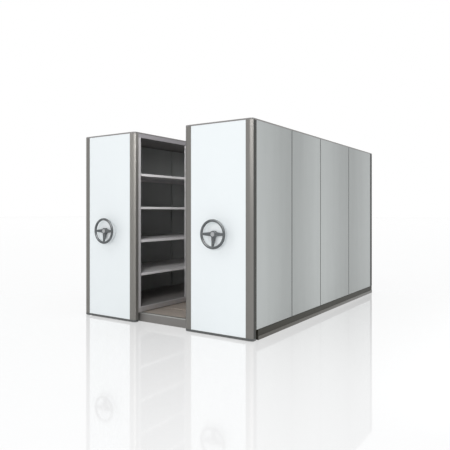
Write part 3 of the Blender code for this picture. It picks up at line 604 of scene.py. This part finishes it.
def steel(name, deep, pale, along, roughness):
    """Drawn or ground steel with lines along one axis and a film of oil."""
    material, shader, place = start_finish(name, {"Metallic": 1.0})
    lines = cloud(streaks(place, along, TOOL_LINES_ALONG, TOOL_LINES_ACROSS), scale=2.0, detail=3.0)
    film = cloud(place, scale=14.0, detail=4.0)
    feed(shader, {
        "Base Color": tint(lines * 0.5 + film * 0.5, deep, pale),
        "Roughness": roughness + 0.14 * film + 0.08 * lines,
        "Normal": bumped(lines, 0.1, FINE_LINE_DEPTH),
    })
    return material


finishes["bright_steel"] = steel("ground_shaft_steel", (0.40, 0.40, 0.41), (0.62, 0.62, 0.62), "Y", 0.22)
finishes["chain_steel"] = steel("oiled_chain_steel", (0.13, 0.125, 0.12), (0.26, 0.25, 0.24), "Z", 0.36)
rail_finish = steel("rolled_rail_steel", (0.34, 0.34, 0.35), (0.56, 0.56, 0.56), "X", 0.26)
print("steels:", finishes["bright_steel"].name, finishes["chain_steel"].name, rail_finish.name)

# %% [markdown]
# ## Wheel enamel
#
# The handwheels are castings in dark blue-grey enamel. A casting has a faint roughness under its
# paint, and hands polish it in patches. The patches are a cloud with its middle cut by a smooth step,
# a little paler, smoother and more lacquered than the rest.

# %% Wheel enamel
POLISHED_COLOUR = (0.18, 0.19, 0.196)
CAST_DEPTH = 0.0004

enamel_gloss = {"Specular IOR Level": 0.5, "Coat Roughness": 0.15}
wheel_finish, shader, place = start_finish("blue_grey_wheel_enamel", enamel_gloss)
cast = cloud(place, scale=240.0, detail=3.0)
grip = soft_step(cloud(place, scale=16.0, detail=4.0), start=0.52, end=0.66)
enamel = tint(cloud(place, scale=6.0), (0.052, 0.059, 0.062), (0.086, 0.096, 0.101))
feed(shader, {
    "Base Color": tint(grip * 0.35, enamel, POLISHED_COLOUR),
    "Roughness": 0.36 + 0.12 * cast - 0.06 * grip,
    "Coat Weight": 0.15 + 0.20 * grip,
    "Normal": bumped(cast, 0.25, CAST_DEPTH),
})
finishes["wheel_casting"] = wheel_finish
print("wheel enamel:", wheel_finish.name)

# %% [markdown]
# ## Finishing the solids
#
# Most solids already have the right shape, so they only change their material. The record says which
# finish each one takes, and three kinds of solid have a finish of their own: the aisle frames, the
# platform's edge and the rails. What the aisle lamp lights is noted on the way.

# %% Assign finishes
OWN_FINISH = {"aisle_frame": frame_finish, "platform_edge": edge_finish, "rail": rail_finish}
AISLE_SIDE = ("left_shelf", "left_aisle_frame", "left_base")

for row in frame["record"]["subparts"]:
    name = row["node"]
    finish = finishes[row["material_slot"]]
    for part, own in OWN_FINISH.items():
        if part in name:
            finish = own
    nodes[name].data.materials.clear()
    nodes[name].data.materials.append(finish)
    if name.startswith(AISLE_SIDE):
        lit_aisle_side.objects.link(nodes[name])

# %% [markdown]
# ## Making a piece
#
# A new piece is drawn where it belongs, so its object stays at the origin. One tool makes the object
# from a shape, lets it ride on its body and hides the solids that it stands for. Two more find the
# edges that are sharp and round them, because an edge without a rounding catches no light.

# %% Piece tools
SHARP = math.radians(34.0)
SIDES = {"left": 1, "right": -1}


def add_piece(name, shape, finish, body, slot, replaced=()):
    """Make an object of a shape, let it ride on a body, and hide the solids that it stands for."""
    mesh = bpy.data.meshes.new(name)
    shape.to_mesh(mesh)
    shape.free()
    mesh.materials.append(finish)
    mesh.shade_smooth()
    mesh.set_sharp_from_angle(angle=SHARP)
    piece = bpy.data.objects.new(name, mesh)
    scene.collection.objects.link(piece)
    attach(piece, body)
    if replaced:
        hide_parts(*replaced)
    print(name, len(mesh.polygons), "faces on", body)
    return piece


def sharp_edges(shape):
    """The edges at which two faces meet sharply."""
    return [edge for edge in shape.edges if edge.is_manifold and edge.calc_face_angle() > SHARP]


def rounded(shape, edges, radius, segments):
    """Bevel some edges to a radius."""
    wanted = {"affect": "EDGES", "segments": segments, "profile": 0.5, "material": -1}
    bmesh.ops.bevel(shape, geom=edges, offset=radius, offset_type="OFFSET", clamp_overlap=True, **wanted)


print("aisle lies along X by", SIDES)

# %% [markdown]
# ## Handwheels
#
# Each carriage is driven by a cast wheel: a round rim, three arms that thicken towards the hub, and
# generous fillets where they meet. Fillets are hard to bevel by hand where round meets flat. Here
# rim, hub and arms are drawn as plain overlapping shapes about the Y axis, with the rim in the plane
# y = 0. A voxel remesh melts them into one skin, and a little smoothing gives the fillets of a
# casting.

# %% Wheel sizes
RIM_RADIUS = 0.014
HUB_RADIUS = 0.036

wheel_low, wheel_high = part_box("left_handwheel")
rim_centre = (wheel_high.x - wheel_low.x) / 2 - RIM_RADIUS
hub_length = wheel_high.y - wheel_low.y - RIM_RADIUS
print("rim", round(2 * rim_centre, 4), "m across its middle, hub", round(hub_length, 4), "m long")

# %% Rim
RIM_FACETS = 24
RIM_STEPS = 120
MERGE = 0.00001


def spun(shape, steps):
    """Spin a line once round the Y axis and close the skin."""
    whole = {"cent": (0, 0, 0), "axis": (0, 1, 0), "angle": 2 * math.pi, "steps": steps}
    line = list(shape.verts) + list(shape.edges)
    bmesh.ops.spin(shape, geom=line, use_merge=True, **whole)
    bmesh.ops.remove_doubles(shape, verts=shape.verts, dist=MERGE)
    bmesh.ops.recalc_face_normals(shape, faces=shape.faces)
    return shape


rim = bmesh.new()
section_place = Matrix.Translation((rim_centre, 0, 0))
bmesh.ops.create_circle(rim, segments=RIM_FACETS, radius=RIM_RADIUS, matrix=section_place)
spun(rim, RIM_STEPS)
print("rim", len(rim.faces), "faces")

# %% Hub
HUB_STEPS = 96
HUB_FRONT_ROUND = 0.003
HUB_BACK_ROUND = 0.002
CAP_SEAT_RADIUS = 0.027
CAP_SEAT_DEPTH = 0.002
CAP_SEAT_DRAFT = 0.0005


def turned(profile, steps):
    """Spin (radius, along) points about the Y axis, as on a lathe."""
    shape = bmesh.new()
    corners = [shape.verts.new((radius, along, 0.0)) for radius, along in profile]
    for pair in zip(corners, corners[1:]):
        shape.edges.new(pair)
    return spun(shape, steps)


cap_seat = [
    (0.0, CAP_SEAT_DEPTH),
    (CAP_SEAT_RADIUS, CAP_SEAT_DEPTH),
    (CAP_SEAT_RADIUS + CAP_SEAT_DRAFT, 0.0),
]
hub_body = [
    (HUB_RADIUS - HUB_FRONT_ROUND, 0.0),
    (HUB_RADIUS, HUB_FRONT_ROUND),
    (HUB_RADIUS, hub_length - HUB_BACK_ROUND),
    (HUB_RADIUS - HUB_BACK_ROUND, hub_length),
    (0.0, hub_length),
]
hub = turned(cap_seat + hub_body, HUB_STEPS)
print("hub", len(hub.faces), "faces")

# %% Arms
ARM_TURNS = (0.0, 180.0, 90.0)
ARM_ROOT = {"depth": 0.030, "width": 0.046}
ARM_TIP = {"depth": 0.012, "width": 0.022}
ARM_EDGE = 0.004


def arm_shape(turn):
    """One arm from the hub out to the rim, deep at the hub and thin at the rim."""
    shape = bmesh.new()
    bmesh.ops.create_cube(shape, size=1.0)
    for corner in shape.verts:
        at_rim = corner.co.x > 0
        end = ARM_TIP if at_rim else ARM_ROOT
        corner.co.x = rim_centre if at_rim else HUB_RADIUS / 2
        corner.co.y = corner.co.y * end["depth"] + (0.0 if at_rim else hub_length / 2)
        corner.co.z *= end["width"]
    rounded(shape, list(shape.edges), ARM_EDGE, segments=3)
    way = Matrix.Rotation(math.radians(turn), 3, "Y")
    bmesh.ops.rotate(shape, cent=(0, 0, 0), matrix=way, verts=shape.verts)
    return shape


arms = [arm_shape(turn) for turn in ARM_TURNS]
print("arms at", ARM_TURNS, "degrees")

# %% Cast wheel
VOXEL = 0.002
FILLET_ROUNDS = 6
FILLET_FACTOR = 0.5


def joined(shapes):
    """A mesh that holds several shapes."""
    whole = bmesh.new()
    mesh = bpy.data.meshes.new("joined")
    for shape in shapes:
        shape.to_mesh(mesh)
        whole.from_mesh(mesh)
        shape.free()
    whole.to_mesh(mesh)
    whole.free()
    return mesh


def melted(mesh):
    """A mesh of one skin with soft fillets, from a mesh of shapes that overlap."""
    holder = bpy.data.objects.new("melting", mesh)
    scene.collection.objects.link(holder)
    skin = holder.modifiers.new("skin", "REMESH")
    skin.mode = "VOXEL"
    skin.voxel_size = VOXEL
    fillets = holder.modifiers.new("fillets", "SMOOTH")
    fillets.factor = FILLET_FACTOR
    fillets.iterations = FILLET_ROUNDS
    evaluated = holder.evaluated_get(bpy.context.evaluated_depsgraph_get())
    result = bpy.data.meshes.new_from_object(evaluated)
    bpy.data.objects.remove(holder)
    bpy.data.meshes.remove(mesh)
    return result


cast_wheel = melted(joined([rim, hub] + arms))
print("cast wheel", len(cast_wheel.polygons), "faces")

# %% Place the wheels
for prefix in SIDES:
    low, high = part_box(f"{prefix}_handwheel")
    shape = bmesh.new()
    shape.from_mesh(cast_wheel)
    centre = ((low.x + high.x) / 2, low.y + RIM_RADIUS, (low.z + high.z) / 2)
    bmesh.ops.translate(shape, vec=centre, verts=shape.verts)
    dress = {"body": f"{prefix}_handwheel", "slot": "wheel_casting", "replaced": [f"{prefix}_handwheel"]}
    lit_wheels.objects.link(add_piece(f"{prefix}_wheel", shape, wheel_finish, **dress))

# %% [markdown]
# ## Hub caps
#
# A pale domed disc closes each hub. It is a lathe shape, so its profile is spun round the axis and
# its sharp rings are rounded. The profile is written in shares of the cap's radius and depth, which
# come from the solid that it stands for.

# %% Hub caps
CAP_DOME = ((0.0, 1.0), (0.4, 0.95), (0.8, 0.7), (1.0, 0.3), (1.0, 0.0), (0.0, 0.0))
CAP_STEPS = 72
CAP_EDGE = 0.0008

cap_finish = powder_coat("pale_hub_cap", (0.33, 0.335, 0.34), (0.42, 0.425, 0.43), 0.26, 0.0001)
for prefix in SIDES:
    low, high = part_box(f"{prefix}_hub_cap")
    radius = (high.x - low.x) / 2
    depth = high.y - low.y
    shape = turned([(out * radius, -rise * depth) for out, rise in CAP_DOME], CAP_STEPS)
    rounded(shape, sharp_edges(shape), CAP_EDGE, segments=2)
    back = ((low.x + high.x) / 2, high.y, (low.z + high.z) / 2)
    bmesh.ops.translate(shape, vec=back, verts=shape.verts)
    dress = {"body": f"{prefix}_handwheel", "slot": "bright_steel", "replaced": [f"{prefix}_hub_cap"]}
    add_piece(f"{prefix}_cap", shape, cap_finish, **dress)

# %% [markdown]
# ## Bearing covers
#
# Behind each wheel a round pressed cover hides the bearing, with a bore for the shaft and a wide
# rounding towards the room. It is a closed section spun round the axis, seated on the front panel,
# and only its outer front ring is rounded. Its coat is a white a touch paler than the fronts', and
# that extra paleness is painted light that lifts the wheel's shadow on it.

# %% Bearing covers
FIT = 0.0003
COVER_BORE = 0.0145
COVER_STEPS = 120
COVER_ROUND = 0.012

# A touch paler than the fronts' white: painted light against the wheel's shadow on the cover.
cover_painted_light_finish = powder_coat("pale_bearing_cover", (0.83, 0.86, 0.87), (0.87, 0.90, 0.91), 0.28, 0.0001)
for prefix in SIDES:
    low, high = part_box(f"{prefix}_bearing_plate")
    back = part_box(f"{prefix}_front_panel")[0].y - FIT
    radius = (high.x - low.x) / 2
    depth = back - low.y
    section = [(COVER_BORE, 0.0), (radius, 0.0), (radius, -depth), (COVER_BORE, -depth)]
    shape = turned(section + section[:1], COVER_STEPS)
    front = [edge for edge in sharp_edges(shape) if all(end.co.y < -depth / 2 for end in edge.verts)]
    outer_ring = [edge for edge in front if edge.verts[0].co.xz.length > radius / 2]
    rounded(shape, outer_ring, COVER_ROUND, segments=6)
    seat = ((low.x + high.x) / 2, back, (low.z + high.z) / 2)
    bmesh.ops.translate(shape, vec=seat, verts=shape.verts)
    dress = {"body": f"{prefix}_carriage", "slot": "light_enamel", "replaced": [f"{prefix}_bearing_plate"]}
    add_piece(f"{prefix}_cover", shape, cover_painted_light_finish, **dress)

# %% [markdown]
# ## Folding strips
#
# Posts, roofs, foot trims and rear angles are all bent sheet or extrusion, with one section from end
# to end. Each could be a box with pieces cut away. It is simpler to draw the section as a bent line
# in plan, raise it into a strip, and give the strip its wall on the inner side. The wall goes against
# the way that the faces look, so the strip is first turned to look outwards.


# %% Strip tools
def folded_strip(line, bottom, top):
    """Raise a line in plan, drawn as (x, y) points, from bottom to top."""
    shape = bmesh.new()
    corners = [shape.verts.new((x, y, bottom)) for x, y in line]
    edges = [shape.edges.new(pair) for pair in zip(corners, corners[1:])]
    raised = bmesh.ops.extrude_edge_only(shape, edges=edges)["geom"]
    upper = [item for item in raised if isinstance(item, bmesh.types.BMVert)]
    bmesh.ops.translate(shape, vec=(0, 0, top - bottom), verts=upper)
    bmesh.ops.recalc_face_normals(shape, faces=shape.faces)
    return shape


def facing(shape, way):
    """Turn a strip so that the face that shows most along a way looks that way, and return the face."""
    widest = max(shape.faces, key=lambda face: face.calc_area() * abs(face.normal.dot(way)))
    if widest.normal.dot(way) < 0:
        bmesh.ops.reverse_faces(shape, faces=shape.faces)
    return widest


def walled(shape, thickness):
    """Give a strip its wall, on the inner side."""
    bmesh.ops.solidify(shape, geom=list(shape.faces), thickness=thickness)


print("strip tools:", folded_strip.__name__, facing.__name__, walled.__name__)

# %% [markdown]
# ## Corner posts
#
# The posts are extrusions. In plan the front is flat, then sweeps back in a wide arc and ends in a
# crisp corner. On the clad side a groove holds a near-black strip, which is painted shade for the
# post's shaded side. Towards the aisle the side is plain. Roof and foot trim follow the same sweep, so
# it is drawn once.

# %% Swept corner
SWEEP_RADIUS = 0.065
SWEEP_WIDTH = 0.042
SWEEP_STEPS = 16
SWEEP_TURN = math.asin(SWEEP_WIDTH / SWEEP_RADIUS)


def swept_corner(outer, hand, front):
    """Points of the arc from the flat front to the outer side, in plan."""
    points = []
    for step in range(SWEEP_STEPS + 1):
        turn = SWEEP_TURN * step / SWEEP_STEPS
        inward = SWEEP_WIDTH - SWEEP_RADIUS * math.sin(turn)
        points.append((outer - hand * inward, front + SWEEP_RADIUS * (1 - math.cos(turn))))
    return points


print("corners sweep back over", SWEEP_WIDTH, "m, through", round(math.degrees(SWEEP_TURN), 1), "degrees")

# %% Posts
POST_WALL = 0.0025
POST_RETURN = 0.012
GROOVE_START = 0.0180
GROOVE_END = 0.0575
GROOVE_DEPTH = 0.004
FRONT = Vector((0, -1, 0))


def post_line(low, high, hand, grooved):
    """A post in plan, from its return behind the panel round to the back of its outer side."""
    inner, outer = (low.x, high.x) if hand > 0 else (high.x, low.x)
    line = [(inner, low.y + POST_RETURN), (inner, low.y)] + swept_corner(outer, hand, low.y)
    if grooved:
        sunk = outer - hand * GROOVE_DEPTH
        line += [(outer, low.y + GROOVE_START), (sunk, low.y + GROOVE_START)]
        line += [(sunk, low.y + GROOVE_END), (outer, low.y + GROOVE_END)]
    return line + [(outer, high.y)]


for prefix, toward_aisle in SIDES.items():
    for part, hand in (("aisle_post", toward_aisle), ("outer_post", -toward_aisle)):
        low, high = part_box(f"{prefix}_{part}")
        shape = folded_strip(post_line(low, high, hand, part == "outer_post"), low.z, high.z)
        facing(shape, FRONT)
        walled(shape, POST_WALL)
        dress = {"body": f"{prefix}_carriage", "slot": "taupe_profile", "replaced": [f"{prefix}_{part}"]}
        post = add_piece(f"{prefix}_{part}_profile", shape, post_finish, **dress)
        lit_posts.objects.link(post)
        if (prefix, part) == ("left", "aisle_post"):
            lit_aisle_side.objects.link(post)

# %% [markdown]
# ## Groove strips
#
# A near-black strip fills the groove of each outer post and lies a little below its skin, as a gasket
# would. Its colour is painted shade, for the shade on the post's side. It is a long bar, so it
# starts as a block between two corners, with all its edges rounded. The thin strips further down are
# made the same way.

# %% Groove strips of painted shade
SHADE_STRIP_RECESS = 0.0012
SHADE_STRIP_EDGE = 0.0006


def rounded_block(first, second, radius, segments=2):
    """A box between two opposite corners, with its edges rounded."""
    shape = bmesh.new()
    bmesh.ops.create_cube(shape, size=1.0)
    size = [abs(far - near) for near, far in zip(first, second)]
    bmesh.ops.scale(shape, vec=size, verts=shape.verts)
    bmesh.ops.translate(shape, vec=(Vector(first) + Vector(second)) / 2, verts=shape.verts)
    rounded(shape, list(shape.edges), radius, segments)
    return shape


for prefix, toward_aisle in SIDES.items():
    low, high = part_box(f"{prefix}_outer_post")
    outer = low.x if toward_aisle > 0 else high.x
    bottom_of_groove = outer + toward_aisle * (GROOVE_DEPTH - FIT)
    skin = outer + toward_aisle * SHADE_STRIP_RECESS
    shape = rounded_block(
        (bottom_of_groove, low.y + GROOVE_START + FIT, low.z),
        (skin, low.y + GROOVE_END - FIT, high.z),
        SHADE_STRIP_EDGE,
    )
    # Painted shade: the strip's near-black stands for the shade on the post's side.
    add_piece(f"{prefix}_gasket", shape, joint_and_shade_strip_finish, f"{prefix}_carriage", "dark_trim")

# %% [markdown]
# ## Roof trays and foot trims
#
# Both follow the posts' corners. The roof is the whole outline, closed at the back and filled with a
# lid whose rim is rounded like folded sheet. The foot trim is the front of that outline as a strip
# with a thick wall.

# %% Roof trays
ROOF_SHEET = 0.0018
ROOF_FOLD = 0.002
UP = Vector((0, 0, 1))


def front_outline(low, high):
    """The outline in plan from the back of the left side, round both swept corners, to the right."""
    left_sweep = swept_corner(low.x, -1, low.y)[::-1]
    right_sweep = swept_corner(high.x, 1, low.y)
    return [(low.x, high.y)] + left_sweep + right_sweep + [(high.x, high.y)]


for prefix in SIDES:
    low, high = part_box(f"{prefix}_roof")
    shape = folded_strip(front_outline(low, high) + [(low.x, high.y)], low.z, high.z)
    bmesh.ops.remove_doubles(shape, verts=shape.verts, dist=FIT)
    top_ring = [edge for edge in shape.edges if all(end.co.z > high.z - FIT for end in edge.verts)]
    bmesh.ops.contextual_create(shape, geom=top_ring)
    bmesh.ops.recalc_face_normals(shape, faces=shape.faces)
    lid = facing(shape, UP)
    rounded(shape, list(lid.edges), ROOF_FOLD, segments=3)
    walled(shape, ROOF_SHEET)
    dress = {"body": f"{prefix}_carriage", "slot": "taupe_enamel", "replaced": [f"{prefix}_roof"]}
    add_piece(f"{prefix}_roof_tray", shape, finishes["taupe_enamel"], **dress)

# %% Foot trims
TRIM_WALL = 0.010

for prefix in SIDES:
    low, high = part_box(f"{prefix}_kick_trim")
    shape = folded_strip(front_outline(low, high), low.z, high.z)
    facing(shape, FRONT)
    walled(shape, TRIM_WALL)
    dress = {"body": f"{prefix}_carriage", "slot": "dark_trim", "replaced": [f"{prefix}_kick_trim"]}
    add_piece(f"{prefix}_foot_trim", shape, foot_trim_finish, **dress)

# %% [markdown]
# ## Joint strips
#
# Dark strips cover the joints of the cladding, the first along the post and the others from panel to
# panel. On the real sides they read as thin dark lines. The first one, along the post, also widens
# the painted shade of the groove strip. A painted line would do from afar, but a strip that stands
# proud by a millimetre also holds up from close by and from the side.

# %% Joint strips
JOINT_WIDTH = 0.013
PROUD = 0.0010
STRIP_EDGE = 0.0002

for prefix, toward_aisle in SIDES.items():
    for number in PANELS:
        low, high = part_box(f"{prefix}_outer_panel_{number}")
        outer = low.x if toward_aisle > 0 else high.x
        # The first strip, along the post, also widens the painted shade of the groove strip.
        start = low.y if number == PANELS[0] else low.y - JOINT_WIDTH / 2
        shape = rounded_block(
            (outer - toward_aisle * FIT, start, low.z),
            (outer - toward_aisle * PROUD, start + JOINT_WIDTH, high.z),
            STRIP_EDGE,
        )
        add_piece(f"{prefix}_joint_strip_{number}", shape, joint_and_shade_strip_finish, f"{prefix}_carriage", "dark_trim")

# %% [markdown]
# ## Rear angles
#
# The rear corners are closed by a dark angle of thin sheet, which shows as a dark line at the far end
# of the long side. It is the simplest strip: three points in plan, with its bend rounded.

# %% Rear angles
ANGLE_SIDE = 0.085
ANGLE_BACK = 0.030
ANGLE_BEND = 0.003
ANGLE_SHEET = 0.0008

for prefix in SIDES:
    low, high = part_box(f"{prefix}_rear_panel")
    for way, hand, outer in (("right", 1, high.x), ("left", -1, low.x)):
        corner = Vector((outer + hand * PROUD, high.y + PROUD))
        line = [(corner.x, corner.y - ANGLE_SIDE), corner, (corner.x - hand * ANGLE_BACK, corner.y)]
        shape = folded_strip(line, low.z, high.z)
        facing(shape, Vector((hand, 0, 0)))
        bend = [edge for edge in shape.edges if all((end.co.xy - corner).length < FIT for end in edge.verts)]
        rounded(shape, bend, ANGLE_BEND, segments=4)
        walled(shape, ANGLE_SHEET)
        name = f"{prefix}_rear_{way}_angle"
        add_piece(name, shape, angle_finish, f"{prefix}_carriage", "taupe_profile")

# %% [markdown]
# ## Platform trim
#
# Along the foot of the platform's two ends runs a grey strip that meets the floor, and a paler nosing
# caps the top of its front between the dark corners. The nosing's paleness is partly a painted
# highlight, for the bright line along that top edge. Both are thin bars on the edge frame.

# %% Foot strips
FOOT_STRIP_GAP = 0.0002
FOOT_STRIP_PROUD = 0.004
FOOT_STRIP_BOTTOM = 0.0005
FOOT_STRIP_TOP = 0.040
FOOT_STRIP_EDGE = 0.0010

for way, hand, outer in (("right", 1, edge_high.x), ("left", -1, edge_low.x)):
    shape = rounded_block(
        (outer + hand * FOOT_STRIP_GAP, edge_low.y, FOOT_STRIP_BOTTOM),
        (outer + hand * FOOT_STRIP_PROUD, edge_high.y, FOOT_STRIP_TOP),
        FOOT_STRIP_EDGE,
    )
    add_piece(f"platform_{way}_foot_strip", shape, foot_strip_finish, "track", "taupe_profile")

# %% Front nosing
NOSING_HEIGHT = 0.013
NOSING_PROUD = 0.0035
NOSING_EDGE = 0.0012

shape = rounded_block(
    (edge_low.x + END_WRAP, edge_low.y - NOSING_PROUD, edge_high.z - NOSING_HEIGHT),
    (edge_high.x - END_WRAP, edge_low.y - FIT, edge_high.z),
    NOSING_EDGE,
    segments=3,
)
add_piece("platform_front_nosing", shape, nosing_painted_highlight_finish, "track", "taupe_profile")
